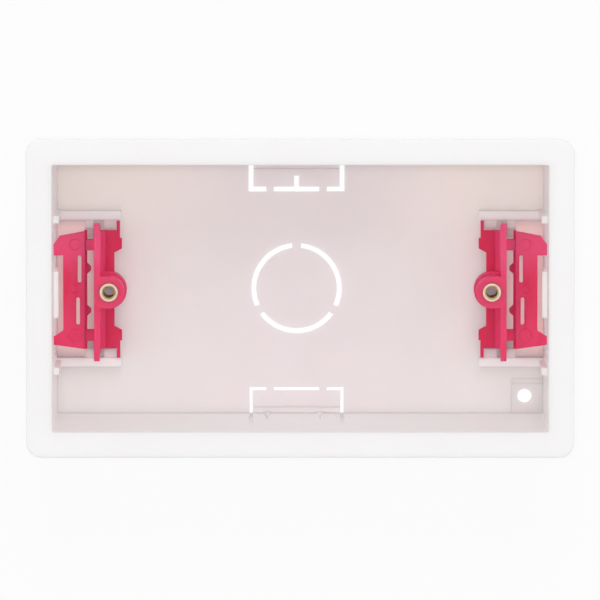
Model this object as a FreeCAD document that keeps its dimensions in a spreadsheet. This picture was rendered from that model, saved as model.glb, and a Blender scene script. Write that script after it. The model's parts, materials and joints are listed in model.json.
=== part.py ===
import FreeCAD, Part
import Sketcher
import math
import os

# Double back box for plasterboard walls, with two sliding side lugs. Millimetres.
# The origin is the middle of the back's outer face. +Z leaves the open front,
# X runs along the long side and Y along the short side.

SIZES = {
    # shell and flange
    "screw_spacing": 120.6,  # plate screw centres once both lugs are out
    "mouth_margin": 4.9,  # from a plate screw to the end wall, at the mouth
    "mouth_height": 70.4,
    "rim_width": 6.8,  # from the mouth to the flange's edge
    "flange_thick": 2.0,
    "flange_corner": 4.0,
    "flange_round": 0.7,  # rounding of the flange's front edge
    "box_depth": 35.0,
    "wall_thick": 1.8,
    "floor_thick": 1.8,
    "end_draft": 0.5,  # lean of an end wall from floor to mouth
    "side_draft": 1.8,  # lean of a long wall from floor to mouth
    "shell_corner": 2.0,
    "cavity_corner": 0.5,
    "back_bevel": 0.9,  # bevel round the back's outer edge
    "cut_margin": 0.5,  # how far a cut runs on past what it cuts
    # travel and running clearances of a lug
    "lug_travel": 9.6,
    "lug_gap": 0.3,
    "stop_gap": 0.2,
    "rail_gap": 0.15,
    "window_gap": 0.5,
    "clamp_travel": 15.0,  # how far a lug can be drawn forward to clamp the board
    # guides on the floor, each height above the floor
    "seat_rise": 2.4,
    "rail_rise": 3.4,
    "low_step_rise": 1.2,
    "rail_width": 2.45,
    "tab_gap": 0.8,  # from the bar's inner face
    "tab_length": 3.4,
    "tab_reach": 2.35,  # from the rail towards the middle
    "block_start": 4.2,  # from the insert's axis outwards
    "block_length": 2.4,
    "low_step_reach": 2.3,
    # ribs and tongue on the end wall
    "guide_rib_width": 2.0,
    "guide_rib_proud": 1.6,
    "guide_rib_gap": 0.75,  # from the bar's end
    "guide_rib_top": 25.0,
    "tongue_half": 6.15,
    "tongue_gap": 0.5,  # above the bar, from where the tongue leans in
    "tongue_lean": 0.65,
    "tongue_step": 1.0,  # from the window's top down to the tongue's upper face
    # corner pad with its fixing hole
    "pad_length": 8.4,
    "pad_width": 7.9,
    "pad_rise": 0.8,
    "pad_ledge": 1.3,
    "pad_ledge_rise": 0.4,
    "pad_hole": 3.6,
    "pad_hole_from_end": 5.0,
    "pad_hole_from_side": 4.7,
    # knock-outs
    "knock_shift": -1.0,  # their common middle lies off the box's
    "ring_outer": 12.0,
    "ring_slot": 1.25,
    "ring_bridge": 12.0,  # degrees
    "bridge_offset": 7.05,
    "bridge_width": 2.0,
    "knock_half": 12.1,
    "wall_groove_top": 20.8,  # where a groove in a long wall fades out
    "upper_slot": 1.25,
    "upper_knock_depth": 7.6,  # from the wall to the far edge of the slot
    "upper_stem": 2.9,  # length of the short middle slot
    "lower_slot": 0.85,
    "lower_knock_depth": 6.9,
    "hinge_width": 1.5,
    "hinge_depth": 0.5,
    "gusset_width": 1.9,
    "gusset_top": 14.0,
    "gusset_proud": 0.3,
    "gusset_shift": -1.7,
    # lug: bar, foot and ears
    "bar_reach": 3.9,  # from the insert's axis to the bar's outer face
    "bar_thick": 1.5,
    "bar_length": 36.6,
    "bar_rise": 11.5,
    "bar_lip": 2.0,  # height of the bar's overhanging end
    "bar_undercut": 1.2,  # how far the end is set back under its lip
    "bar_round": 0.4,
    "keel_length": 25.6,
    "foot_thick": 1.8,
    "foot_half": 15.7,
    "foot_waist": 1.3,  # from the insert's axis inwards, and so on below
    "foot_reach": 3.3,
    "bulge_start": 9.8,
    "bulge_run": 1.1,
    "bulge_end": 13.6,
    "ear_reach": 2.8,
    "ear_width": 0.85,
    "ear_half": 18.2,
    "ramp_width": 1.6,
    "ramp_rise": 2.6,
    # lug: boss
    "boss_radius": 4.15,
    "boss_step_radius": 4.9,
    "boss_step_shift": 0.3,
    "boss_step_rise": 5.0,
    "screw_clearance": 3.9,
    # lug: arms and wing
    "arm_centre": 12.05,
    "arm_width": 2.9,
    "arm_rise": 1.7,
    "arm_thick": 2.5,
    "stiffener_start": 5.95,  # from the insert's axis outwards, and so on below
    "stiffener_thick": 0.8,
    "stiffener_rise": 3.2,
    "bump_proud": 1.05,
    "bump_half": 1.4,  # half its length at the stiffener
    "bump_tip": 0.45,  # half its length at its tip
    "bump_centre": 5.6,
    "bump_rise": 2.6,
    "wing_inner": 6.4,
    "wing_notch": 12.25,
    "wing_shoulder": 13.2,
    "wing_tip": 14.8,
    "wing_rise": 2.7,
    "wing_thick": 1.8,
    "wing_half": 15.7,
    "wing_taper": 1.3,
    "claw_length": 5.1,
    "claw_slope": 2.3,  # of the straight claw's outer corner
    "claw_lean": 1.65,  # of the hooked claw's inner corner
    "wing_slot_width": 1.0,
    "wing_slot_length": 7.4,
    "wing_slot_centre": 5.6,
    "wing_slot_place": 8.1,
    "wing_slot_step": 0.4,
    # brass insert
    "insert_diameter": 4.8,
    "insert_length": 8.0,
    "insert_bore": 2.9,
    "insert_chamfer": 0.35,
    "insert_groove": 0.3,
    "insert_groove_width": 1.2,
}


class Length:
    """A size as a number and as the spreadsheet expression that gives it."""

    def __init__(self, number, text):
        self.number = number
        self.text = text

    def __add__(self, other):
        other = as_length(other)
        return Length(self.number + other.number, f"({self.text} + {other.text})")

    def __sub__(self, other):
        other = as_length(other)
        return Length(self.number - other.number, f"({self.text} - {other.text})")

    def __mul__(self, factor):
        factor = as_length(factor)
        return Length(self.number * factor.number, f"({self.text} * {factor.text})")

    def __truediv__(self, divisor):
        divisor = as_length(divisor)
        return Length(self.number / divisor.number, f"({self.text} / {divisor.text})")

    def __neg__(self):
        return self * -1

    __rmul__ = __mul__


def as_length(value):
    return value if isinstance(value, Length) else Length(value, repr(value))


def size(name):
    return Length(SIZES[name], f"Sizes.{name}")


RING_SLOTS = 3
ZERO = as_length(0)
DEGREE = Length(1, "1 deg")
TOUCH = 0.01  # edges this near a level count as on it

# Half sizes of the shell: "end" runs along X, "side" along Y
mouth_end = size("screw_spacing") / 2 + size("mouth_margin")
mouth_side = size("mouth_height") / 2
floor_end = mouth_end - size("end_draft")
floor_side = mouth_side - size("side_draft")
flange_end = mouth_end + size("rim_width")
flange_side = mouth_side + size("rim_width")
inner_depth = size("box_depth") - size("floor_thick")

# Heights of the guides and of a lug
seat_z = size("floor_thick") + size("seat_rise")
lug_z = seat_z + size("lug_gap")
keel_z = size("floor_thick") + size("lug_gap")
foot_z = lug_z + size("foot_thick")
bar_z = lug_z + size("bar_rise")
wing_z = lug_z + size("wing_rise")
wing_top_z = wing_z + size("wing_thick")
insert_z = bar_z - size("insert_length")

# Places along X, measured from the middle of the box
insert_u = size("screw_spacing") / 2 - size("lug_travel")
bar_u = insert_u + size("bar_reach")
bar_half = size("bar_length") / 2

# Openings in the end wall
window_half = size("wing_half") + size("window_gap")
window_top = wing_top_z + size("clamp_travel")
tongue_z = wing_top_z + size("window_gap")
rail_half = size("ear_half") + size("rail_gap")


def wall_at(floor_half, draft, height):
    """Where a leaning wall's inner face stands at a height."""
    return floor_half + draft * (height - size("floor_thick")) / inner_depth


def write_sheet(doc):
    sheet = doc.addObject("Spreadsheet::Sheet", "Sizes")
    for row, (name, value) in enumerate(SIZES.items(), start=1):
        sheet.set(f"A{row}", name)
        sheet.set(f"B{row}", str(value))
        sheet.setAlias(f"B{row}", name)
    doc.recompute()


def new_body(doc, name):
    body = doc.addObject("PartDesign::Body", name)
    body.Label = name
    return body


def new_sketch(body, name, plane, height=ZERO, shift=ZERO):
    """A sketch on one of the body's own planes, moved out along its normal."""
    sketch = body.newObject("Sketcher::SketchObject", name)
    roles = {feature.Role: feature for feature in body.Origin.OriginFeatures}
    sketch.AttachmentSupport = [(roles[plane], "")]
    sketch.MapMode = "FlatFace"
    sketch.AttachmentOffset = FreeCAD.Placement(
        FreeCAD.Vector(shift.number, 0, height.number), FreeCAD.Rotation()
    )
    sketch.setExpression("AttachmentOffset.Base.x", shift.text)
    sketch.setExpression("AttachmentOffset.Base.z", height.text)
    return sketch


def bind(sketch, constraint, value):
    index = sketch.addConstraint(constraint)
    sketch.setExpression(f"Constraints[{index}]", value.text)


def pin(sketch, geometry, point, place):
    """Holds one point of a sketch at a place measured from the sketch's origin."""
    for kind, value in zip(("DistanceX", "DistanceY"), place):
        bind(sketch, Sketcher.Constraint(kind, -1, 1, geometry, point, value.number), value)


def vector(place):
    return FreeCAD.Vector(place[0].number, place[1].number, 0)


def draw_outline(sketch, points):
    """A closed outline of straight lines through the points."""
    first = sketch.GeometryCount
    corners = [vector(point) for point in points]
    for number, corner in enumerate(corners):
        following = corners[(number + 1) % len(corners)]
        sketch.addGeometry(Part.LineSegment(corner, following), False)
    for number, point in enumerate(points):
        line = first + number
        following = first + (number + 1) % len(points)
        sketch.addConstraint(Sketcher.Constraint("Coincident", line, 2, following, 1))
        pin(sketch, line, 1, point)


def draw_rectangle(sketch, low, high):
    draw_outline(sketch, [low, (high[0], low[1]), high, (low[0], high[1])])


def draw_circle(sketch, centre, radius):
    circle = Part.Circle(vector(centre), FreeCAD.Vector(0, 0, 1), radius.number)
    geometry = sketch.addGeometry(circle, False)
    pin(sketch, geometry, 3, centre)
    bind(sketch, Sketcher.Constraint("Radius", geometry, radius.number), radius)


def draw_arc(sketch, centre, radius, start, end):
    circle = Part.Circle(centre, FreeCAD.Vector(0, 0, 1), radius)
    return sketch.addGeometry(Part.ArcOfCircle(circle, start, end), False)


def draw_rounded_rectangle(sketch, half_x, half_y, radius):
    """A rectangle about the sketch's origin, its corners rounded by arcs."""
    corner = vector((half_x - radius, half_y - radius))
    signs = ((1, 1), (-1, 1), (-1, -1), (1, -1))
    arcs = []
    for quarter, (sx, sy) in enumerate(signs):
        centre = FreeCAD.Vector(sx * corner.x, sy * corner.y, 0)
        start = quarter * math.pi / 2
        arcs.append(draw_arc(sketch, centre, radius.number, start, start + math.pi / 2))
    lines = []
    for number, arc in enumerate(arcs):
        following = arcs[(number + 1) % 4]
        start = sketch.Geometry[arc].EndPoint
        end = sketch.Geometry[following].StartPoint
        lines.append(sketch.addGeometry(Part.LineSegment(start, end), False))
    for number, line in enumerate(lines):
        following = arcs[(number + 1) % 4]
        sketch.addConstraint(Sketcher.Constraint("Tangent", arcs[number], 2, line, 1))
        sketch.addConstraint(Sketcher.Constraint("Tangent", line, 2, following, 1))
    for arc in arcs[1:]:
        sketch.addConstraint(Sketcher.Constraint("Equal", arcs[0], arc))
    bind(sketch, Sketcher.Constraint("Radius", arcs[0], radius.number), radius)
    top, left, bottom, right = lines
    for line in (top, bottom):
        sketch.addConstraint(Sketcher.Constraint("Horizontal", line))
    for line in (left, right):
        sketch.addConstraint(Sketcher.Constraint("Vertical", line))
    for line, kind, value in (
        (top, "DistanceY", half_y),
        (bottom, "DistanceY", -half_y),
        (left, "DistanceX", -half_x),
        (right, "DistanceX", half_x),
    ):
        bind(sketch, Sketcher.Constraint(kind, -1, 1, line, 1, value.number), value)


def draw_slot(sketch, centre, half_length, half_width):
    """A slot along Y with round ends."""
    place = vector(centre)
    up = FreeCAD.Vector(0, half_length.number - half_width.number, 0)
    wide = FreeCAD.Vector(half_width.number, 0, 0)
    top = draw_arc(sketch, place + up, half_width.number, 0, math.pi)
    bottom = draw_arc(sketch, place - up, half_width.number, math.pi, 2 * math.pi)
    left = sketch.addGeometry(Part.LineSegment(place + up - wide, place - up - wide), False)
    right = sketch.addGeometry(Part.LineSegment(place - up + wide, place + up + wide), False)
    for first, point, second in ((top, 2, left), (left, 2, bottom), (bottom, 2, right), (right, 2, top)):
        sketch.addConstraint(Sketcher.Constraint("Tangent", first, point, second, 1))
    sketch.addConstraint(Sketcher.Constraint("Equal", top, bottom))
    bind(sketch, Sketcher.Constraint("Radius", top, half_width.number), half_width)
    reach = half_length - half_width
    pin(sketch, top, 3, (centre[0], centre[1] + reach))
    pin(sketch, bottom, 3, (centre[0], centre[1] - reach))


def finish_feature(body, feature, sign):
    """Rebuilds the body and checks that the feature changed it the right way."""
    before = body.Shape.Volume if body.Shape.Solids else 0.0
    body.Document.recompute()
    if (body.Shape.Volume - before) * sign <= 0:
        raise RuntimeError(f"{feature.Label} changed nothing on {body.Label}")
    return feature


def pad(body, name, sketch, length, against=False):
    """Adds a sketch's outline along its normal, or against it."""
    feature = body.newObject("PartDesign::Pad", name)
    feature.Profile = sketch
    feature.setExpression("Length", length.text)
    feature.Reversed = against
    return finish_feature(body, feature, 1)


def cut(body, name, sketch, length, along=False):
    """Cuts a sketch's outline against its normal, or along it."""
    feature = body.newObject("PartDesign::Pocket", name)
    feature.Profile = sketch
    feature.setExpression("Length", length.text)
    feature.Reversed = along
    return finish_feature(body, feature, -1)


def edges_where(shape, test):
    return [f"Edge{number}" for number, edge in enumerate(shape.Edges, start=1) if test(edge)]


def round_edges(body, name, radius, test):
    base = body.Tip
    edges = edges_where(base.Shape, test)
    feature = body.newObject("PartDesign::Fillet", name)
    feature.Base = (base, edges)
    feature.setExpression("Radius", radius.text)
    return finish_feature(body, feature, -1)


def on_front(edge):
    return edge.BoundBox.ZMin > size("box_depth").number - TOUCH


def add_shell(body):
    """The open tray: a leaning shell, its flange and its cavity."""
    wall = size("wall_thick")
    bevel = size("back_bevel")
    levels = (
        ("Back", ZERO, floor_end + wall - bevel, floor_side + wall - bevel),
        ("Base", bevel, floor_end + wall, floor_side + wall),
        ("Front", size("box_depth"), mouth_end + wall, mouth_side + wall),
    )
    outlines = []
    for name, height, half_x, half_y in levels:
        outline = new_sketch(body, f"{name}Outline", "XY_Plane", height)
        draw_rounded_rectangle(outline, half_x, half_y, size("shell_corner"))
        outlines.append(outline)
    shell = body.newObject("PartDesign::AdditiveLoft", "Shell")
    shell.Profile = outlines[0]
    shell.Sections = outlines[1:]
    shell.Ruled = True
    finish_feature(body, shell, 1)

    rim = new_sketch(body, "FlangeOutline", "XY_Plane", size("box_depth") - size("flange_thick"))
    draw_rounded_rectangle(rim, flange_end, flange_side, size("flange_corner"))
    pad(body, "Flange", rim, size("flange_thick"))
    round_edges(body, "FlangeRound", size("flange_round"), on_front)

    low = new_sketch(body, "CavityFloor", "XY_Plane", size("floor_thick"))
    draw_rounded_rectangle(low, floor_end, floor_side, size("cavity_corner"))
    high = new_sketch(body, "CavityMouth", "XY_Plane", size("box_depth"))
    draw_rounded_rectangle(high, mouth_end, mouth_side, size("cavity_corner"))
    cavity = body.newObject("PartDesign::SubtractiveLoft", "Cavity")
    cavity.Profile = low
    cavity.Sections = [high]
    finish_feature(body, cavity, -1)


def add_end_windows(body, side):
    """A window in the end wall for a lug's wing, parted by a tongue that hangs in it."""
    inner = insert_u + size("wing_inner")
    outer = mouth_end + size("wall_thick") + size("cut_margin")
    tongue = size("tongue_half")
    window = new_sketch(body, f"WindowOutline{side:+d}", "YZ_Plane", side * outer)
    draw_outline(window, [
        (-window_half, seat_z),
        (window_half, seat_z),
        (window_half, window_top),
        (tongue, window_top),
        (tongue, tongue_z),
        (-tongue, tongue_z),
        (-tongue, window_top),
        (-window_half, window_top),
    ])
    cut(body, f"Window{side:+d}", window, outer - inner, along=side < 0)

    stop = bar_u + size("lug_travel") + size("stop_gap")
    root = floor_end + size("wall_thick") / 2
    upper_face = window_top - size("tongue_step")
    wedge = new_sketch(body, f"TongueOutline{side:+d}", "XZ_Plane", -tongue)
    draw_outline(wedge, [
        (side * stop, tongue_z),
        (side * stop, bar_z + size("tongue_gap")),
        (side * (stop - size("tongue_lean")), upper_face),
        (side * root, upper_face),
        (side * root, tongue_z),
    ])
    pad(body, f"Tongue{side:+d}", wedge, tongue * 2)


def add_guide_ribs(body):
    """Upright ribs on the end walls, one beyond each end of a lug's bar."""
    low = bar_half + size("guide_rib_gap")
    high = low + size("guide_rib_width")
    face = floor_end - size("guide_rib_proud") + size("end_draft")
    root = floor_end + size("wall_thick") / 2
    ribs = new_sketch(body, "GuideRibOutlines", "XY_Plane", size("floor_thick"))
    for side in (-1, 1):
        for half in (-1, 1):
            draw_rectangle(ribs, (side * face, half * low), (side * root, half * high))
    pad(body, "GuideRibs", ribs, size("guide_rib_top") - size("floor_thick"))


def add_floor_guides(body):
    """Rails, tabs and blocks on the floor, between which a parked lug lies."""
    rail_start = insert_u - size("foot_reach") + size("rail_gap")
    tab_start = bar_u - size("bar_thick") - size("tab_gap") - size("tab_length")
    tab_low = rail_half - size("tab_reach")
    block_start = insert_u + size("block_start")
    block_end = block_start + size("block_length")
    step_low = tab_low - size("low_step_reach")
    rail_high = rail_half + size("rail_width")
    root = floor_end + size("wall_thick") / 2

    rails = new_sketch(body, "RailOutlines", "XY_Plane", size("floor_thick"))
    seats = new_sketch(body, "SeatOutlines", "XY_Plane", size("floor_thick"))
    steps = new_sketch(body, "LowStepOutlines", "XY_Plane", size("floor_thick"))
    for side in (-1, 1):
        for half in (-1, 1):
            draw_rectangle(rails, (side * rail_start, half * rail_half), (side * root, half * rail_high))
            for start, end in ((tab_start, tab_start + size("tab_length")), (block_start, block_end)):
                draw_rectangle(seats, (side * start, half * tab_low), (side * end, half * rail_high))
            low = (side * block_start, half * step_low)
            draw_rectangle(steps, low, (side * block_end, half * rail_half))
    pad(body, "Rails", rails, size("rail_rise"))
    pad(body, "Seats", seats, size("seat_rise"))
    pad(body, "LowSteps", steps, size("low_step_rise"))


def add_corner_pad(body):
    """The raised pad in one corner, with a ledge beside it and a hole through it."""
    root = size("wall_thick") / 2
    start = floor_end - size("pad_length")
    top = -(floor_side - size("pad_width"))
    bottom = -(floor_side + root)
    ledge = new_sketch(body, "PadLedgeOutline", "XY_Plane", size("floor_thick"))
    draw_rectangle(ledge, (start, bottom), (floor_end + root, top + size("pad_ledge")))
    pad(body, "PadLedge", ledge, size("pad_ledge_rise"))
    raised = new_sketch(body, "PadOutline", "XY_Plane", size("floor_thick"))
    draw_rectangle(raised, (start, bottom), (floor_end + root, top))
    pad(body, "CornerPad", raised, size("pad_rise"))
    hole = new_sketch(body, "PadHoleOutline", "XY_Plane")
    centre = (floor_end - size("pad_hole_from_end"), -(floor_side - size("pad_hole_from_side")))
    draw_circle(hole, centre, size("pad_hole") / 2)
    cut(body, "PadHole", hole, seat_z, along=True)


def cut_ring(body):
    """The round knock-out: three curved slots with a bridge between each two."""
    depth = size("floor_thick") + size("cut_margin")
    ring = new_sketch(body, "RingSlotOutline", "XY_Plane", shift=size("knock_shift"))
    outer = size("ring_outer")
    inner = outer - size("ring_slot")
    half_bridge = size("ring_bridge") / 2
    angles = (as_length(90) + half_bridge, as_length(90 + 360 / RING_SLOTS) - half_bridge)
    start, end = (math.radians(angle.number) for angle in angles)
    origin = FreeCAD.Vector(0, 0, 0)
    rims = []
    for radius in (outer, inner):
        rim = draw_arc(sketch=ring, centre=origin, radius=radius.number, start=start, end=end)
        ring.addConstraint(Sketcher.Constraint("Coincident", rim, 3, -1, 1))
        bind(ring, Sketcher.Constraint("Radius", rim, radius.number), radius)
        rims.append(rim)
    for point, angle in zip((1, 2), angles):
        turn = math.radians(angle.number)
        away = FreeCAD.Vector(math.cos(turn), math.sin(turn), 0)
        line = ring.addGeometry(Part.LineSegment(away * inner.number, away * outer.number), False)
        ring.addConstraint(Sketcher.Constraint("Coincident", line, 1, rims[1], point))
        ring.addConstraint(Sketcher.Constraint("Coincident", line, 2, rims[0], point))
        ring.addConstraint(Sketcher.Constraint("PointOnObject", -1, 1, line))
        bind(ring, Sketcher.Constraint("Angle", line, turn), angle * DEGREE)
    slot = cut(body, "RingSlot", ring, depth, along=True)
    around = body.newObject("PartDesign::PolarPattern", "RingSlots")
    around.Originals = [slot]
    around.Axis = (ring, ["N_Axis"])
    around.Angle = 360
    around.Occurrences = RING_SLOTS
    body.Tip = around
    finish_feature(body, around, -1)


def cut_edge_knockout(body, name, side, slot, depth, stem):
    """A knock-out at a long wall: slots in the floor, and grooves that run on up the wall."""
    shift = size("knock_shift")
    half = size("knock_half")
    slot_half = slot / 2
    far = side * (floor_side - depth)
    near = side * (floor_side - depth + slot)
    wall = side * floor_side
    bridge_in = size("bridge_offset") - size("bridge_width") / 2
    bridge_out = size("bridge_offset") + size("bridge_width") / 2
    slots = new_sketch(body, f"{name}SlotOutlines", "XY_Plane", shift=shift)
    for hand in (-1, 1):
        draw_outline(slots, [
            (hand * (half + slot_half), far),
            (hand * (half + slot_half), wall),
            (hand * (half - slot_half), wall),
            (hand * (half - slot_half), near),
            (hand * bridge_out, near),
            (hand * bridge_out, far),
        ])
    middle = [(-bridge_in, far), (bridge_in, far), (bridge_in, near)]
    if stem:
        tip = near + side * stem
        middle += [(slot_half, near), (slot_half, tip), (-slot_half, tip), (-slot_half, near)]
    draw_outline(slots, middle + [(-bridge_in, near)])
    cut(body, f"{name}Slots", slots, size("floor_thick") + size("cut_margin"), along=True)

    # The wall leans out over a groove's upright back, until the two meet at its top.
    # The grooves lie on a plane whose normal points to -Y.
    back = wall_at(floor_side, size("side_draft"), size("wall_groove_top"))
    up_wall = new_sketch(body, f"{name}WallGrooveOutlines", "XZ_Plane", -wall, shift)
    for hand in (-1, 1):
        low = (hand * (half - slot_half), size("floor_thick"))
        draw_rectangle(up_wall, low, (hand * (half + slot_half), size("wall_groove_top")))
    cut(body, f"{name}WallGrooves", up_wall, back - floor_side, along=side < 0)

    hinge = new_sketch(body, f"{name}HingeOutline", "XY_Plane", size("floor_thick"), shift)
    inset = half - slot_half
    draw_rectangle(hinge, (-inset, wall), (inset, side * (floor_side - size("hinge_width"))))
    cut(body, f"{name}Hinge", hinge, size("hinge_depth"))


def add_gussets(body):
    """Two small upright triangles where the lower knock-out meets its wall."""
    face = floor_side - size("gusset_proud")
    half = size("gusset_width") / 2
    gussets = new_sketch(body, "GussetOutlines", "XZ_Plane", face, size("gusset_shift"))
    for hand in (-1, 1):
        middle = hand * size("bridge_offset")
        base = size("floor_thick") - size("hinge_depth")
        draw_outline(gussets, [(middle - half, base), (middle + half, base), (middle, size("gusset_top"))])
    pad(body, "Gussets", gussets, size("gusset_proud") + size("wall_thick") / 2)


def make_back_box(doc):
    body = new_body(doc, "back_box")
    add_shell(body)
    for side in (-1, 1):
        add_end_windows(body, side)
    add_guide_ribs(body)
    add_floor_guides(body)
    add_corner_pad(body)
    cut_ring(body)
    cut_edge_knockout(body, "Upper", 1, size("upper_slot"), size("upper_knock_depth"), size("upper_stem"))
    cut_edge_knockout(body, "Lower", -1, size("lower_slot"), size("lower_knock_depth"), None)
    add_gussets(body)
    return body


def foot_outline(side):
    """The foot's outline, with a waist, two bulges and two ears."""
    outer = side * bar_u
    waist = side * (insert_u - size("foot_waist"))
    bulge = side * (insert_u - size("foot_reach"))
    ear_in = side * (insert_u - size("ear_reach"))
    ear_out = side * (insert_u - size("ear_reach") + size("ear_width"))
    half = [
        (waist, size("bulge_start")),
        (bulge, size("bulge_start") + size("bulge_run")),
        (bulge, size("bulge_end")),
        (ear_in, size("bulge_end")),
        (ear_in, size("ear_half")),
        (ear_out, size("ear_half")),
        (ear_out, size("foot_half")),
        (outer, size("foot_half")),
    ]
    return half + [(x, -y) for x, y in reversed(half)]


def bar_outline():
    """The bar seen along X, its ends undercut so that they pass over the floor's blocks."""
    low = bar_half - size("bar_undercut")
    lip = bar_z - size("bar_lip")
    half = [
        (low, lug_z),
        (low, lip - size("bar_undercut")),
        (bar_half, lip),
        (bar_half, bar_z),
    ]
    return half + [(-y, z) for y, z in reversed(half)]


def add_lug_web(body, side):
    """The foot, the upright bar on it, the keel under it and the ramp between."""
    foot = new_sketch(body, "FootOutline", "XY_Plane", lug_z)
    draw_outline(foot, foot_outline(side))
    pad(body, "Foot", foot, size("foot_thick"))
    inner = side * (bar_u - size("bar_thick"))
    outer = side * bar_u
    bar = new_sketch(body, "BarOutline", "YZ_Plane", inner)
    draw_outline(bar, bar_outline())
    pad(body, "Bar", bar, size("bar_thick"), against=side < 0)
    keel = new_sketch(body, "KeelOutline", "XY_Plane", keel_z)
    keel_half = size("keel_length") / 2
    draw_rectangle(keel, (inner, -keel_half), (outer, keel_half))
    pad(body, "Keel", keel, lug_z - keel_z)
    ramp = new_sketch(body, "RampOutline", "XZ_Plane", -size("foot_half"))
    draw_outline(ramp, [
        (inner, foot_z),
        (inner, foot_z + size("ramp_rise")),
        (inner - side * size("ramp_width"), foot_z),
    ])
    pad(body, "Ramp", ramp, size("foot_half") * 2)


def draw_round_nose(sketch, centre, radius, back, side):
    """A half circle towards the middle of the box, run back straight to a face."""
    quarter = side * math.pi / 2
    place = vector(centre)
    up = FreeCAD.Vector(0, side * radius.number, 0)
    far = FreeCAD.Vector(back.number - place.x, 0, 0)
    nose = draw_arc(sketch, place, radius.number, quarter, quarter + math.pi)
    low = sketch.addGeometry(Part.LineSegment(place - up, place - up + far), False)
    flat = sketch.addGeometry(Part.LineSegment(place - up + far, place + up + far), False)
    high = sketch.addGeometry(Part.LineSegment(place + up + far, place + up), False)
    sketch.addConstraint(Sketcher.Constraint("Tangent", nose, 2, low, 1))
    sketch.addConstraint(Sketcher.Constraint("Coincident", low, 2, flat, 1))
    sketch.addConstraint(Sketcher.Constraint("Coincident", flat, 2, high, 1))
    sketch.addConstraint(Sketcher.Constraint("Tangent", high, 2, nose, 1))
    for line, kind in ((low, "Horizontal"), (flat, "Vertical"), (high, "Horizontal")):
        sketch.addConstraint(Sketcher.Constraint(kind, line))
    pin(sketch, nose, 3, centre)
    bind(sketch, Sketcher.Constraint("Radius", nose, radius.number), radius)
    bind(sketch, Sketcher.Constraint("DistanceX", -1, 1, flat, 1, back.number), back)


def add_boss(body, side):
    """The boss that holds the insert, with a wider step round its foot."""
    axis = (side * insert_u, ZERO)
    face = side * (bar_u - size("bar_thick") / 2)
    post = new_sketch(body, "PostOutline", "XY_Plane", keel_z)
    draw_round_nose(post, axis, size("boss_radius"), face, side)
    pad(body, "Post", post, bar_z - keel_z)
    step = new_sketch(body, "BossStepOutline", "XY_Plane", lug_z)
    step_axis = (side * (insert_u + size("boss_step_shift")), ZERO)
    draw_round_nose(step, step_axis, size("boss_step_radius"), face, side)
    pad(body, "BossStep", step, size("boss_step_rise"))


def wing_outline(side):
    """The wing's outline: a leaning end, two claws and the notch between them."""
    inner = side * (insert_u + size("wing_inner"))
    notch = side * (insert_u + size("wing_notch"))
    shoulder = side * (insert_u + size("wing_shoulder"))
    tip = side * (insert_u + size("wing_tip"))
    upper = size("wing_half") - size("wing_taper")
    upper_root = upper - size("claw_length")
    lower = -(size("wing_half") - size("wing_taper") + size("rail_gap"))
    lower_root = lower + size("claw_length") - size("wing_taper")
    return [
        (inner, size("wing_half")),
        (shoulder, upper),
        (tip, upper - size("claw_slope")),
        (tip, upper_root),
        (notch, upper_root),
        (notch, lower_root),
        (tip, lower_root - size("claw_lean")),
        (tip, lower),
        (inner, -size("wing_half")),
    ]


def add_wing(body, side):
    """The wing that grips the board, its stiffener, its arms and its slots."""
    web = insert_u + size("stiffener_start")
    web_far = web + size("stiffener_thick")
    edge_half = size("wing_half")
    stiffener = new_sketch(body, "StiffenerOutline", "XY_Plane", lug_z)
    draw_rectangle(stiffener, (side * web, -edge_half), (side * web_far, edge_half))
    arms = new_sketch(body, "ArmOutlines", "XY_Plane", lug_z + size("arm_rise"))
    root = bar_u - size("bar_thick") / 2
    far = web + size("stiffener_thick") / 2
    for half in (-1, 1):
        low = half * (size("arm_centre") - size("arm_width") / 2)
        high = half * (size("arm_centre") + size("arm_width") / 2)
        draw_rectangle(arms, (side * root, low), (side * far, high))
    pad(body, "Arms", arms, size("arm_thick"))
    pad(body, "Stiffener", stiffener, size("stiffener_rise"))
    bumps = new_sketch(body, "BumpOutlines", "XY_Plane", lug_z)
    tip = web - size("bump_proud")
    for half in (-1, 1):
        middle = half * size("bump_centre")
        draw_outline(bumps, [
            (side * far, middle - size("bump_half")),
            (side * web, middle - size("bump_half")),
            (side * tip, middle - size("bump_tip")),
            (side * tip, middle + size("bump_tip")),
            (side * web, middle + size("bump_half")),
            (side * far, middle + size("bump_half")),
        ])
    pad(body, "Bumps", bumps, size("bump_rise"))
    wing = new_sketch(body, "WingOutline", "XY_Plane", wing_z)
    draw_outline(wing, wing_outline(side))
    pad(body, "Wing", wing, size("wing_thick"))
    slots = new_sketch(body, "WingSlotOutlines", "XY_Plane", wing_top_z)
    for half in (-1, 1):
        place = insert_u + size("wing_slot_place") - half * size("wing_slot_step") / 2
        centre = (side * place, half * size("wing_slot_centre"))
        draw_slot(slots, centre, size("wing_slot_length") / 2, size("wing_slot_width") / 2)
    cut(body, "WingSlots", slots, size("wing_thick"))


def bore_lug(body, side):
    """The seat of the insert, and below it a hole that the screw runs through."""
    axis = (side * insert_u, ZERO)
    seat = new_sketch(body, "InsertSeatOutline", "XY_Plane", bar_z)
    draw_circle(seat, axis, size("insert_diameter") / 2)
    cut(body, "InsertSeat", seat, size("insert_length"))
    run = new_sketch(body, "ScrewHoleOutline", "XY_Plane", keel_z)
    draw_circle(run, axis, size("screw_clearance") / 2)
    cut(body, "ScrewHole", run, insert_z - keel_z, along=True)


def round_bar(body):
    """Softens the bar's two upper ends."""
    end = bar_half.number
    top = bar_z.number

    def on_bar_end(edge):
        box = edge.BoundBox
        at_end = min(abs(box.YMin), abs(box.YMax)) > end - TOUCH
        return box.ZMin > top - TOUCH and at_end

    round_edges(body, "BarRound", size("bar_round"), on_bar_end)


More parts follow.
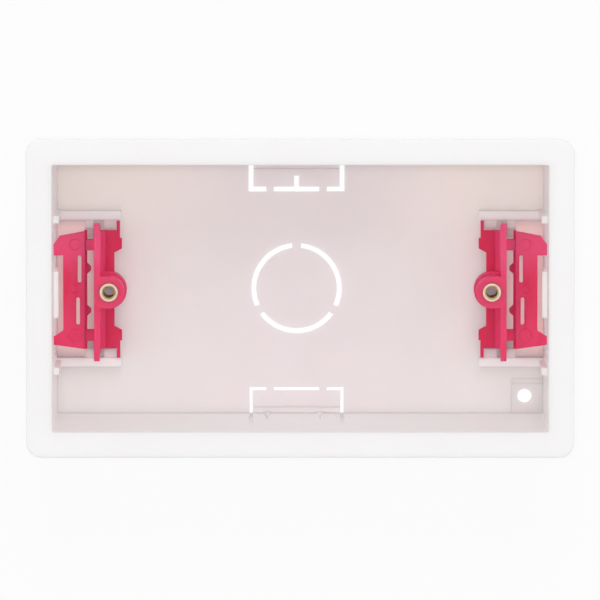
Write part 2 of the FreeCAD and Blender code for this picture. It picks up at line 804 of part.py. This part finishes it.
def make_lug(doc, name, side):
    body = new_body(doc, name)
    add_lug_web(body, side)
    add_boss(body, side)
    add_wing(body, side)
    bore_lug(body, side)
    round_bar(body)
    return body


def make_insert(doc, name, side):
    """A brass sleeve with chamfered ends and a groove between its gripping bands."""
    body = new_body(doc, name)
    profile = new_sketch(body, "InsertProfile", "XZ_Plane", shift=side * insert_u)
    bore = size("insert_bore") / 2
    skin = size("insert_diameter") / 2
    chamfer = size("insert_chamfer")
    middle = insert_z + size("insert_length") / 2
    groove_low = middle - size("insert_groove_width") / 2
    groove_high = middle + size("insert_groove_width") / 2
    groove = skin - size("insert_groove")
    draw_outline(profile, [
        (bore, insert_z + chamfer),
        (bore + chamfer, insert_z),
        (skin, insert_z),
        (skin, groove_low),
        (groove, groove_low),
        (groove, groove_high),
        (skin, groove_high),
        (skin, bar_z),
        (bore + chamfer, bar_z),
        (bore, bar_z - chamfer),
    ])
    sleeve = body.newObject("PartDesign::Revolution", "Sleeve")
    sleeve.Profile = profile
    sleeve.ReferenceAxis = (profile, ["V_Axis"])
    sleeve.Angle = 360
    finish_feature(body, sleeve, 1)
    return body


def check(doc, bodies):
    for item in doc.Objects:
        if "Invalid" in item.State or "Error" in item.State:
            raise RuntimeError(f"{item.Label} did not build")
    for body in bodies:
        shape = body.Shape
        if shape.isNull() or not shape.isValid() or len(shape.Solids) != 1:
            raise RuntimeError(f"{body.Label} is not one valid solid")


def main():
    doc = FreeCAD.newDocument("back_box_with_lugs")
    write_sheet(doc)
    bodies = [make_back_box(doc)]
    for name, side in (("left", -1), ("right", 1)):
        bodies.append(make_lug(doc, f"{name}_lug", side))
        bodies.append(make_insert(doc, f"{name}_insert", side))
    doc.recompute()
    check(doc, bodies)
    os.makedirs("parts", exist_ok=True)
    for body in bodies:
        body.Shape.exportStep(f"parts/{body.Label}.step")
        print(f"{body.Label}: {body.Shape.Volume:.1f} mm3, {len(body.Shape.Faces)} faces")


main()
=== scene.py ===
import json
import math

import bpy
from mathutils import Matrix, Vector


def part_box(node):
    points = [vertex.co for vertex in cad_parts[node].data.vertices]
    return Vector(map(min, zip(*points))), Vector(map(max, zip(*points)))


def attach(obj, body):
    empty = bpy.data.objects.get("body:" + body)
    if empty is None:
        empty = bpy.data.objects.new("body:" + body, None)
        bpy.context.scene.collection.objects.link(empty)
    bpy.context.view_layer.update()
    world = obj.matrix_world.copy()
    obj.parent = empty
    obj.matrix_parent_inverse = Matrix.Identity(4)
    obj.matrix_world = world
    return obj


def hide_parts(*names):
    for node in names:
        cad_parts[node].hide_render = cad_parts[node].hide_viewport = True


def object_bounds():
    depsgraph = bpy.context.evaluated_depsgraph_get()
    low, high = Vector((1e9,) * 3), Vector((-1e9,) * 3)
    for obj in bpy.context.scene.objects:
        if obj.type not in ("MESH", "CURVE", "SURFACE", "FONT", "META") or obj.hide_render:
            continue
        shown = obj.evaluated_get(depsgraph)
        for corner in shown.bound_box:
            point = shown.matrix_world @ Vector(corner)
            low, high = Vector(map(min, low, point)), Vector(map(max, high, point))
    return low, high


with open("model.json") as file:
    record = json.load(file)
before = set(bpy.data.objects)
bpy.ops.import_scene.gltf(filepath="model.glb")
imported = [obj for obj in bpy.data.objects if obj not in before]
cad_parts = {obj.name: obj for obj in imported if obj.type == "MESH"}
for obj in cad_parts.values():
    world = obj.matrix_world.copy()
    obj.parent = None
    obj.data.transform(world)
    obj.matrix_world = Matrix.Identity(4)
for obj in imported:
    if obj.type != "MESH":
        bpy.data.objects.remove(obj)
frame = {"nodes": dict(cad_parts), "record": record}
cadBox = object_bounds()
scene = bpy.context.scene
scene.view_settings.view_transform = "Standard"
print("frame loaded:", ", ".join(sorted(frame["nodes"])))


def selectNone():
    if bpy.context.object and bpy.context.object.mode != "OBJECT":
        bpy.ops.object.mode_set(mode="OBJECT")
    bpy.ops.object.select_all(action="DESELECT")


cameraSetup = {
    "aim": (-0.00008, -0.00026, 0.035),  # just off the middle of the mouth
    "distance": 2.2,
    "lean": 5.12,  # degrees off square, towards the long wall at +Y
    "lens": 503.2,
    "sensor": 36,
}


def addCamera(setup):
    lean = math.radians(setup["lean"])
    x, y, z = setup["aim"]
    away = setup["distance"]
    place = (x, y + away * math.sin(lean), z + away * math.cos(lean))
    bpy.ops.object.camera_add(location=place, rotation=(-lean, 0, 0))
    camera = bpy.context.object
    camera.name = "photoCamera"
    camera.data.sensor_width = setup["sensor"]
    camera.data.lens = setup["lens"]
    scene.camera = camera


selectNone()
addCamera(cameraSetup)
print("camera set")


def feed(tree, value, socket):
    # a plain value is set on the socket, and a node's output is linked to it
    if isinstance(value, (int, float, tuple)):
        socket.default_value = value
    else:
        tree.links.new(value, socket)


def maths(tree, operation, *values):
    node = tree.nodes.new("ShaderNodeMath")
    node.operation = operation
    for value, socket in zip(values, node.inputs):
        feed(tree, value, socket)
    return node.outputs[0]


def product(tree, first, *others):
    for other in others:
        first = maths(tree, "MULTIPLY", first, other)
    return first


def ramp(tree, value, start, end, low=0.0, high=1.0):
    # runs smoothly from low at start to high at end
    node = tree.nodes.new("ShaderNodeMapRange")
    node.interpolation_type = "SMOOTHSTEP"
    for name, number in (("From Min", start), ("From Max", end), ("To Min", low), ("To Max", high)):
        node.inputs[name].default_value = number
    tree.links.new(value, node.inputs["Value"])
    return node.outputs["Result"]


def mixNumber(tree, share, low, high):
    node = tree.nodes.new("ShaderNodeMix")
    for value, socket in ((share, 0), (low, 2), (high, 3)):
        feed(tree, value, node.inputs[socket])
    return node.outputs[0]


def mixColour(tree, share, first, second, way="MIX"):
    node = tree.nodes.new("ShaderNodeMix")
    node.data_type = "RGBA"
    node.blend_type = way
    for value, socket in ((share, 0), (first, 6), (second, 7)):
        feed(tree, value, node.inputs[socket])
    return node.outputs[2]


def darken(tree, colour, share, factor):
    return mixColour(tree, share, colour, (factor, factor, factor, 1), "MULTIPLY")


def noise(tree, place, scale, detail=2.0, rough=0.5):
    node = tree.nodes.new("ShaderNodeTexNoise")
    node.inputs["Scale"].default_value = scale
    node.inputs["Detail"].default_value = detail
    node.inputs["Roughness"].default_value = rough
    tree.links.new(place, node.inputs["Vector"])
    return node.outputs["Fac"]


def places(tree):
    # the coordinates of the surface in metres, whole and split
    coordinates = tree.nodes.new("ShaderNodeTexCoord")
    split = tree.nodes.new("ShaderNodeSeparateXYZ")
    tree.links.new(coordinates.outputs["Object"], split.inputs[0])
    return coordinates.outputs["Object"], split.outputs[0], split.outputs[1], split.outputs[2]


def seenDirectly(tree):
    # 1 for camera, glossy and transmitted rays, 0 for the light that falls on the part
    rays = tree.nodes.new("ShaderNodeLightPath").outputs
    direct = maths(tree, "MAXIMUM", rays["Is Camera Ray"], rays["Is Glossy Ray"])
    return maths(tree, "MAXIMUM", direct, rays["Is Transmission Ray"])


lampSetup = {
    "frontLamp": {"place": (0.0, 0.214, 2.4), "size": 0.3, "power": 9.9},  # on the lens's own line
    "upperLamp": {"place": (0.1, 1.3, 1.3), "size": 0.9, "power": 5.6},
    "lowerLamp": {"place": (-0.1, -1.3, 1.3), "size": 0.9, "power": 1.3},
    "leftLamp": {"place": (-1.5, 0.2, 1.0), "size": 0.9, "power": 3.0},
    "rightLamp": {"place": (1.5, 0.2, 1.0), "size": 0.9, "power": 3.0},
}
worldSetup = {
    "light": (0.552, 0.552, 0.552, 1),
    "seen": (1, 1, 1, 1),
}


def addLamps(setup, aim):
    for name, lamp in setup.items():
        bpy.ops.object.light_add(type="AREA", location=lamp["place"])
        light = bpy.context.object
        light.name = name
        light.data.size = lamp["size"]
        light.data.energy = lamp["power"]
        light.visible_glossy = False  # metal mirrors the studio and not the lamps
        away = light.location - aim
        light.rotation_euler = away.to_track_quat("Z", "Y").to_euler()


def setWorld(setup):
    world = bpy.data.worlds.new("studioWorld")
    world.use_nodes = True
    scene.world = world
    tree = world.node_tree
    tree.nodes.clear()
    output = tree.nodes.new("ShaderNodeOutputWorld")
    mix = tree.nodes.new("ShaderNodeMixShader")
    for socket, colour in ((1, setup["light"]), (2, setup["seen"])):
        background = tree.nodes.new("ShaderNodeBackground")
        background.inputs["Color"].default_value = colour
        tree.links.new(background.outputs[0], mix.inputs[socket])
    tree.links.new(seenDirectly(tree), mix.inputs[0])
    tree.links.new(mix.outputs[0], output.inputs["Surface"])


addLamps(lampSetup, (cadBox[0] + cadBox[1]) / 2)
setWorld(worldSetup)
print("lamps and world set")

floorSetup = {
    "size": 12,
    "colour": (0.88, 0.88, 0.88, 1),
    "roughness": 0.9,
    "drop": 0.0002,  # how far it lies below the part's back
    "glow": 0.9,  # light that the table gives the part, unseen by the camera
    "backGlow": 2.4,  # the same below the part's back, which lets some of it through
    "back": (0.067, 0.035),  # half sizes of that area
    "backFade": 0.003,
    "whiteShare": 0.86,  # plain white in what the camera sees, and the rest shows the shadow
}


def addFloor(setup):
    bpy.ops.mesh.primitive_plane_add(size=setup["size"], location=(0, 0, -setup["drop"]))
    floor = bpy.context.object
    floor.name = "studioFloor"
    material = bpy.data.materials.new("paleFloor")
    material.use_nodes = True
    tree = material.node_tree
    shader = tree.nodes["Principled BSDF"]
    shader.inputs["Base Color"].default_value = setup["colour"]
    shader.inputs["Roughness"].default_value = setup["roughness"]
    glow = tree.nodes.new("ShaderNodeEmission")
    mix = tree.nodes.new("ShaderNodeMixShader")
    seen = seenDirectly(tree)
    within = []
    for way, half in zip(places(tree)[1:3], setup["back"]):
        within.append(ramp(tree, maths(tree, "ABSOLUTE", way), half, half - setup["backFade"]))
    more = product(tree, *within, setup["backGlow"] - setup["glow"])
    unseen = maths(tree, "ADD", more, setup["glow"])
    tree.links.new(mixNumber(tree, seen, unseen, 1.0), glow.inputs["Strength"])
    tree.links.new(mixNumber(tree, seen, 1.0, setup["whiteShare"]), mix.inputs[0])
    tree.links.new(shader.outputs[0], mix.inputs[1])
    tree.links.new(glow.outputs[0], mix.inputs[2])
    tree.links.new(mix.outputs[0], tree.nodes["Material Output"].inputs["Surface"])
    floor.data.materials.append(material)


selectNone()
addFloor(floorSetup)
print("floor laid")


def awayFrom(tree, x, y, centreX, centreY):
    squares = []
    for way, centre in ((x, centreX), (y, centreY)):
        squares.append(maths(tree, "POWER", maths(tree, "SUBTRACT", way, centre), 2.0))
    return maths(tree, "SQRT", maths(tree, "ADD", *squares))


def softEdges(tree, radius):
    node = tree.nodes.new("ShaderNodeBevel")
    node.samples = 6
    node.inputs["Radius"].default_value = radius
    return node.outputs["Normal"]


def bump(tree, height, depth, normal):
    node = tree.nodes.new("ShaderNodeBump")
    node.inputs["Strength"].default_value = 1.0
    node.inputs["Distance"].default_value = depth
    tree.links.new(height, node.inputs["Height"])
    tree.links.new(normal, node.inputs["Normal"])
    return node.outputs["Normal"]


def newMaterial(name, settings):
    material = bpy.data.materials.new(name)
    material.use_nodes = True
    shader = material.node_tree.nodes["Principled BSDF"]
    for socket, value in settings.items():
        shader.inputs[socket].default_value = value
    return material, material.node_tree, shader


noiseSpan = (0.3, 0.7)  # nearly all values of a noise lie in it


def patchyGloss(tree, shader, pattern, gloss):
    tree.links.new(ramp(tree, pattern, *noiseSpan, *gloss), shader.inputs["Roughness"])


boxPlastic = {
    "outside": (0.930, 0.912, 0.916, 1),
    "upper": (0.925, 0.896, 0.874, 1),  # painted shade and painted warm light on the tray's floor near its ends, towards +Y
    "lower": (0.880, 0.866, 0.868, 1),  # the same painted shade and warm light towards -Y
    "middle": (0.866, 0.834, 0.846, 1),  # painted shade and painted warm light on the tray's floor, half-way between the ends
    "walls": (0.992, 0.946, 0.942, 1),  # painted light inside, on the walls and on the ribs and rails
    "wallRise": (0.0018, 0.035),  # levels between which the walls lean
    "endWall": (0.0656, 0.0005),  # its middle at the floor, and how far that leans out
    "sideWall": (0.0343, 0.0018),
    "wallFade": 0.0004,  # either side of a wall's middle
    "backFade": (0.0004, 0.0014),  # levels from the outside's colour to the inside's
    "mouthFade": (0.0349, 0.0343),
    "upperFade": (-0.005, 0.034),  # along Y, where the painted shade changes
    "endsFade": (0.008, 0.045),  # along X, where the painted shade changes
    "wallsFade": (0.0028, 0.0044),  # levels from the floor's colour to the walls' painted light
    "floorFade": (0.0042, 0.0028),
    "floorShade": 0.86,  # painted shade: a factor that darkens the colour of the tray's floor
    "lugBounceLight": (0.948, 0.815, 0.810, 1),  # painted pink bounce light from the lugs, and painted light against the shade, on the floor below them
    "lugReach": (0.0542, 0.0185),  # that place starts at this X and ends at this Y
    "lugFade": 0.0035,
    "cloud": 0.985,  # a factor on the colour where it is faintly clouded
    "cloudScale": 45,
    "cloudSpan": (0.35, 0.7),
    "grainScale": 2600,
    "grainDepth": 0.000004,
    "waveScale": 85,
    "waveDepth": 0.00006,
    "edge": 0.0003,
    "gloss": (0.36, 0.5),
    "shader": {
        "Specular IOR Level": 0.4,
        "IOR": 1.49,
        "Subsurface Weight": 0.8,
        "Subsurface Radius": (1.0, 0.88, 0.86),
        "Subsurface Scale": 0.0025,
    },
}


def insideWall(tree, outward, height, wall, fade):
    # the middle of a leaning wall's thickness parts inside from outside
    foot, lean = wall
    middle = maths(tree, "ADD", maths(tree, "MULTIPLY", height, lean), foot)
    return ramp(tree, maths(tree, "SUBTRACT", outward, middle), fade, -fade)


def makeBoxPlastic(look):
    material, tree, shader = newMaterial("boxPlastic", look["shader"])
    place, x, y, z = places(tree)
    alongX = maths(tree, "ABSOLUTE", x)
    alongY = maths(tree, "ABSOLUTE", y)
    height = ramp(tree, z, *look["wallRise"])
    inside = product(
        tree,
        insideWall(tree, alongX, height, look["endWall"], look["wallFade"]),
        insideWall(tree, alongY, height, look["sideWall"], look["wallFade"]),
        ramp(tree, z, *look["backFade"]),
        ramp(tree, z, *look["mouthFade"]),
    )
    # the tray's floor gets painted shade and painted warm light that change along Y and X
    ends = mixColour(tree, ramp(tree, y, *look["upperFade"]), look["lower"], look["upper"])
    tray = mixColour(tree, ramp(tree, alongX, *look["endsFade"]), look["middle"], ends)
    # painted light lifts the walls, ribs and rails above the floor
    tray = mixColour(tree, ramp(tree, z, *look["wallsFade"]), tray, look["walls"])
    # painted shade darkens the tray's floor
    onFloor = ramp(tree, z, *look["floorFade"])
    tray = darken(tree, tray, onFloor, look["floorShade"])
    # painted pink bounce light of the lugs on the floor below them
    lugX, lugY = look["lugReach"]
    outFar = ramp(tree, alongX, lugX, lugX + look["lugFade"])
    nearAxis = ramp(tree, alongY, lugY, lugY - look["lugFade"])
    tray = mixColour(tree, product(tree, outFar, nearAxis, onFloor), tray, look["lugBounceLight"])
    tone = mixColour(tree, inside, look["outside"], tray)
    cloud = noise(tree, place, look["cloudScale"], detail=3.0, rough=0.6)
    tone = darken(tree, tone, ramp(tree, cloud, *look["cloudSpan"]), look["cloud"])
    tree.links.new(tone, shader.inputs["Base Color"])
    waves = noise(tree, place, look["waveScale"])
    patchyGloss(tree, shader, waves, look["gloss"])
    normal = bump(tree, waves, look["waveDepth"], softEdges(tree, look["edge"]))
    normal = bump(tree, noise(tree, place, look["grainScale"]), look["grainDepth"], normal)
    tree.links.new(normal, shader.inputs["Normal"])
    return material


insertAxis = 0.0507  # from the middle of the box to the axis of a parked insert

lugPlastic = {
    "colour": (0.850, 0.056, 0.178, 1),
    "deep": (0.795, 0.042, 0.147, 1),  # in the faint flow marks
    # painted shade on the lug's low foot
    "foot": (0.700, 0.026, 0.120, 1),
    "footFade": (0.0072, 0.0062),  # levels over which the foot's painted shade comes in
    "pale": (0.900, 0.092, 0.232, 1),  # painted sheen at one end of the wing
    "paleFade": (0.003, 0.0135),  # from where to where along Y the painted sheen comes in
    "paleStray": 0.003,  # how far the flow marks shift the sheen
    "boss": (0.985, 0.058, 0.165, 1),  # painted light round the insert, making up for the light that the metal takes away
    "bossPlace": (0.0155, 0.0052),  # its level and radius
    "bossFade": (0.0005, 0.0008),  # below that level and within that radius
    "flowScale": 150,
    "flowStretch": (2.6, 0.7, 1.4),  # flow marks run along the bar
    "flowSpan": (0.42, 0.75),
    "grainScale": 2400,
    "grainDepth": 0.000006,
    "edge": 0.00022,
    "gloss": (0.46, 0.6),
    # round marks of the mould's pins on the wing, each with its X, Y and radius
    "pinMarks": ((0.0598, 0.0122, 0.0014), (0.0597, -0.0120, 0.00165), (0.0600, 0.0004, 0.0011)),
    "pinDepth": 0.0001,
    "pinSlope": 0.00012,  # half the width of a mark's sloping edge
    "pinLevel": 0.0085,  # only the wing's upper face has them
    "pinLevelFade": 0.0002,
    "rim": 0.84,  # a factor on the colour along the rim of a mark
    "rimFade": (0.00028, 0.00006),  # either side of the edge
    "patchScale": 320,  # the rim shows in parts
    "patchSpan": (0.38, 0.6),
    "shader": {
        "Specular IOR Level": 0.38,
        "IOR": 1.5,
        "Subsurface Weight": 1.0,
        "Subsurface Radius": (1.0, 0.25, 0.35),
        "Subsurface Scale": 0.004,
    },
}


def markWing(tree, x, y, look):
    # 0 within the marks and 1 around them, and 1 along their rims
    around = 1.0
    rims = 0.0
    slope = look["pinSlope"]
    for markX, markY, radius in look["pinMarks"]:
        away = awayFrom(tree, x, y, markX, markY)
        disc = ramp(tree, away, radius - slope, radius + slope)
        around = maths(tree, "MINIMUM", around, disc)
        off = maths(tree, "ABSOLUTE", maths(tree, "SUBTRACT", away, radius))
        rims = maths(tree, "MAXIMUM", rims, ramp(tree, off, *look["rimFade"]))
    return around, rims


def makeLugPlastic(look):
    material, tree, shader = newMaterial("lugPlastic", look["shader"])
    place, x, y, z = places(tree)
    outward = maths(tree, "ABSOLUTE", x)
    along = tree.nodes.new("ShaderNodeMapping")
    along.inputs["Scale"].default_value = look["flowStretch"]
    tree.links.new(place, along.inputs["Vector"])
    flow = noise(tree, along.outputs[0], look["flowScale"], detail=3.0, rough=0.55)
    tone = mixColour(tree, ramp(tree, flow, *look["flowSpan"]), look["colour"], look["deep"])
    # painted shade on the foot
    tone = mixColour(tree, ramp(tree, z, *look["footFade"]), tone, look["foot"])
    # painted light on the boss round the insert
    level, radius = look["bossPlace"]
    below, within = look["bossFade"]
    fromBoss = awayFrom(tree, outward, y, insertAxis, 0.0)
    nearBoss = ramp(tree, fromBoss, radius, radius - within)
    onBoss = product(tree, nearBoss, ramp(tree, z, level - below, level))
    tone = mixColour(tree, onBoss, tone, look["boss"])
    onWing = ramp(tree, z, look["pinLevel"] - look["pinLevelFade"], look["pinLevel"])
    # painted sheen at one end of the wing's upper face
    strayed = maths(tree, "ADD", y, maths(tree, "MULTIPLY", flow, look["paleStray"]))
    paler = product(tree, onWing, ramp(tree, strayed, *look["paleFade"]))
    tone = mixColour(tree, paler, tone, look["pale"])
    around, rims = markWing(tree, outward, y, look)
    patches = ramp(tree, noise(tree, place, look["patchScale"]), *look["patchSpan"])
    tone = darken(tree, tone, product(tree, rims, onWing, patches), look["rim"])
    tree.links.new(tone, shader.inputs["Base Color"])
    patchyGloss(tree, shader, flow, look["gloss"])
    sunk = product(tree, maths(tree, "SUBTRACT", 1.0, around), onWing)
    marks = maths(tree, "SUBTRACT", 1.0, sunk)
    normal = bump(tree, marks, look["pinDepth"], softEdges(tree, look["edge"]))
    normal = bump(tree, noise(tree, place, look["grainScale"]), look["grainDepth"], normal)
    tree.links.new(normal, shader.inputs["Normal"])
    return material


insertBrass = {
    "bright": (0.84, 0.70, 0.50, 1),
    "dull": (0.75, 0.58, 0.38, 1),
    "stainScale": 700,
    "stainSpan": (0.4, 0.72),
    "turning": 0.00022,  # spacing of the fine turning marks
    "turningDepth": 0.0000035,
    "edge": 0.00008,
    "gloss": (0.2, 0.36),
    "shader": {"Metallic": 1.0},
}


def makeInsertBrass(look):
    material, tree, shader = newMaterial("insertBrass", look["shader"])
    place, x, y = places(tree)[:3]
    stain = noise(tree, place, look["stainScale"], detail=3.0, rough=0.6)
    tone = mixColour(tree, ramp(tree, stain, *look["stainSpan"]), look["bright"], look["dull"])
    tree.links.new(tone, shader.inputs["Base Color"])
    patchyGloss(tree, shader, stain, look["gloss"])
    away = awayFrom(tree, maths(tree, "ABSOLUTE", x), y, insertAxis, 0.0)
    rings = maths(tree, "SINE", maths(tree, "MULTIPLY", away, 2 * math.pi / look["turning"]))
    normal = bump(tree, rings, look["turningDepth"], softEdges(tree, look["edge"]))
    tree.links.new(normal, shader.inputs["Normal"])
    return material


finishes = {
    "box_plastic": makeBoxPlastic(boxPlastic),
    "lug_plastic": makeLugPlastic(lugPlastic),
    "insert_brass": makeInsertBrass(insertBrass),
}


def paint(piece, slotName):
    piece.data.materials.clear()
    piece.data.materials.append(finishes[slotName])


for name, slotName in (
    ("back_box", "box_plastic"),
    ("left_lug", "lug_plastic"),
    ("right_lug", "lug_plastic"),
    ("left_insert", "insert_brass"),
    ("right_insert", "insert_brass"),
):
    paint(frame["nodes"][name], slotName)
print("finishes put on")

insertForm = {
    "major": 0.00175,  # the thread's outer radius, M3.5
    "pitch": 0.0006,
    "mouth": 0.00048,  # depth of the countersink at either end
    "groove": 0.0003,  # depth of the groove round the middle
    "grooveHalf": 0.0006,  # half its width
    "beyond": 0.0006,  # how far a cutting piece runs past the sleeve
    "steps": 64,
    "crease": 32,  # degrees
}


def applyModifier(piece, kind, settings):
    modifier = piece.modifiers.new(kind.title(), kind)
    for name, value in settings.items():
        setattr(modifier, name, value)
    bpy.ops.object.modifier_apply(modifier=modifier.name)


def cutAway(piece, tool):
    selectNone()
    piece.select_set(True)
    bpy.context.view_layer.objects.active = piece
    applyModifier(piece, "BOOLEAN", {"operation": "DIFFERENCE", "solver": "EXACT", "object": tool})
    bpy.data.objects.remove(tool)


def addTap(minor, form, foot, top):
    # one V is wound up the axis and both ends are cut off flat
    selectNone()
    bpy.ops.mesh.primitive_circle_add(vertices=4, radius=1)
    tap = bpy.context.object
    bpy.ops.object.mode_set(mode="EDIT")
    bpy.ops.mesh.select_mode(type="VERT")
    bpy.ops.mesh.select_all(action="DESELECT")
    bpy.ops.object.mode_set(mode="OBJECT")
    for corner in tap.data.vertices:
        corner.select = corner.co.x < -0.5  # without this corner the square is a V
    bpy.ops.object.mode_set(mode="EDIT")
    bpy.ops.mesh.delete(type="VERT")
    bpy.ops.object.mode_set(mode="OBJECT")
    pitch = form["pitch"]
    start = foot - form["beyond"] - pitch
    end = top + form["beyond"]
    tap.rotation_euler.x = math.radians(90)
    tap.scale = (form["major"] - minor, pitch / 2, 1)
    tap.location = (minor, 0, start)
    bpy.ops.object.transform_apply(location=True, rotation=True, scale=True)
    applyModifier(tap, "SCREW", {
        "axis": "Z",
        "screw_offset": pitch,
        "iterations": math.ceil((end - start) / pitch) + 2,
        "steps": form["steps"],
        "render_steps": form["steps"],
    })
    bpy.ops.object.mode_set(mode="EDIT")
    bpy.ops.mesh.select_all(action="SELECT")
    bpy.ops.mesh.remove_doubles(threshold=pitch / 100)
    for level, below in ((foot - form["beyond"], True), (end, False)):
        bpy.ops.mesh.select_all(action="SELECT")
        bpy.ops.mesh.bisect(
            plane_co=(0, 0, level),
            plane_no=(0, 0, 1),
            use_fill=True,
            clear_inner=below,
            clear_outer=not below,
        )
    bpy.ops.mesh.select_all(action="SELECT")
    bpy.ops.mesh.normals_make_consistent(inside=False)
    bpy.ops.object.mode_set(mode="OBJECT")
    return tap


def addSink(minor, form, level, way):
    # a cone that opens outwards at one end of the bore
    selectNone()
    inward = form["mouth"] + form["groove"]
    bpy.ops.mesh.primitive_cone_add(
        vertices=form["steps"],
        radius1=minor - form["groove"],
        radius2=minor + form["mouth"] + form["beyond"],
        depth=inward + form["beyond"],
        location=(0, 0, level + way * (form["beyond"] - inward) / 2),
        rotation=(0 if way > 0 else math.pi, 0, 0),
    )
    return bpy.context.object


def addSleeve(name, skin, form, foot, top):
    # a cylinder with a groove pressed in round its middle
    selectNone()
    middle = (foot + top) / 2
    bpy.ops.mesh.primitive_cylinder_add(
        vertices=form["steps"], radius=skin, depth=top - foot, location=(0, 0, middle)
    )
    sleeve = bpy.context.object
    sleeve.name = name
    bpy.ops.object.transform_apply(location=True)
    bpy.ops.object.mode_set(mode="EDIT")
    bpy.ops.mesh.select_mode(type="FACE")
    for level in (middle - form["grooveHalf"], middle + form["grooveHalf"]):
        bpy.ops.mesh.select_all(action="SELECT")
        bpy.ops.mesh.bisect(plane_co=(0, 0, level), plane_no=(0, 0, 1))
    bpy.ops.mesh.select_all(action="DESELECT")
    bpy.ops.object.mode_set(mode="OBJECT")
    for face in sleeve.data.polygons:
        face.select = abs(face.center.z - middle) < form["grooveHalf"]
    bpy.ops.object.mode_set(mode="EDIT")
    bpy.ops.mesh.extrude_region_move()
    share = 1 - form["groove"] / skin
    bpy.ops.transform.resize(value=(share, share, 1))
    bpy.ops.object.mode_set(mode="OBJECT")
    return sleeve


def addInsert(cadName, body, bore, form):
    low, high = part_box(cadName)
    foot = low[2]
    top = high[2]
    sleeve = addSleeve(cadName + "Threaded", (high[0] - low[0]) / 2, form, foot, top)
    cutAway(sleeve, addTap(bore, form, foot, top))
    cutAway(sleeve, addSink(bore, form, top, 1))
    cutAway(sleeve, addSink(bore, form, foot, -1))
    sleeve.location = ((low[0] + high[0]) / 2, (low[1] + high[1]) / 2, 0)
    bpy.ops.object.transform_apply(location=True)
    bpy.ops.object.shade_smooth_by_angle(angle=math.radians(form["crease"]))
    paint(sleeve, "insert_brass")
    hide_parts(cadName)
    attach(sleeve, body)


for mount in frame["record"]["mounts"]:
    if mount["kind"] == "threaded_hole":
        lugSide = mount["name"].split("_")[0]
        addInsert(lugSide + "_insert", lugSide + "_lug", mount["dims"]["r_mm"] / 1000, insertForm)
print("threaded inserts made")
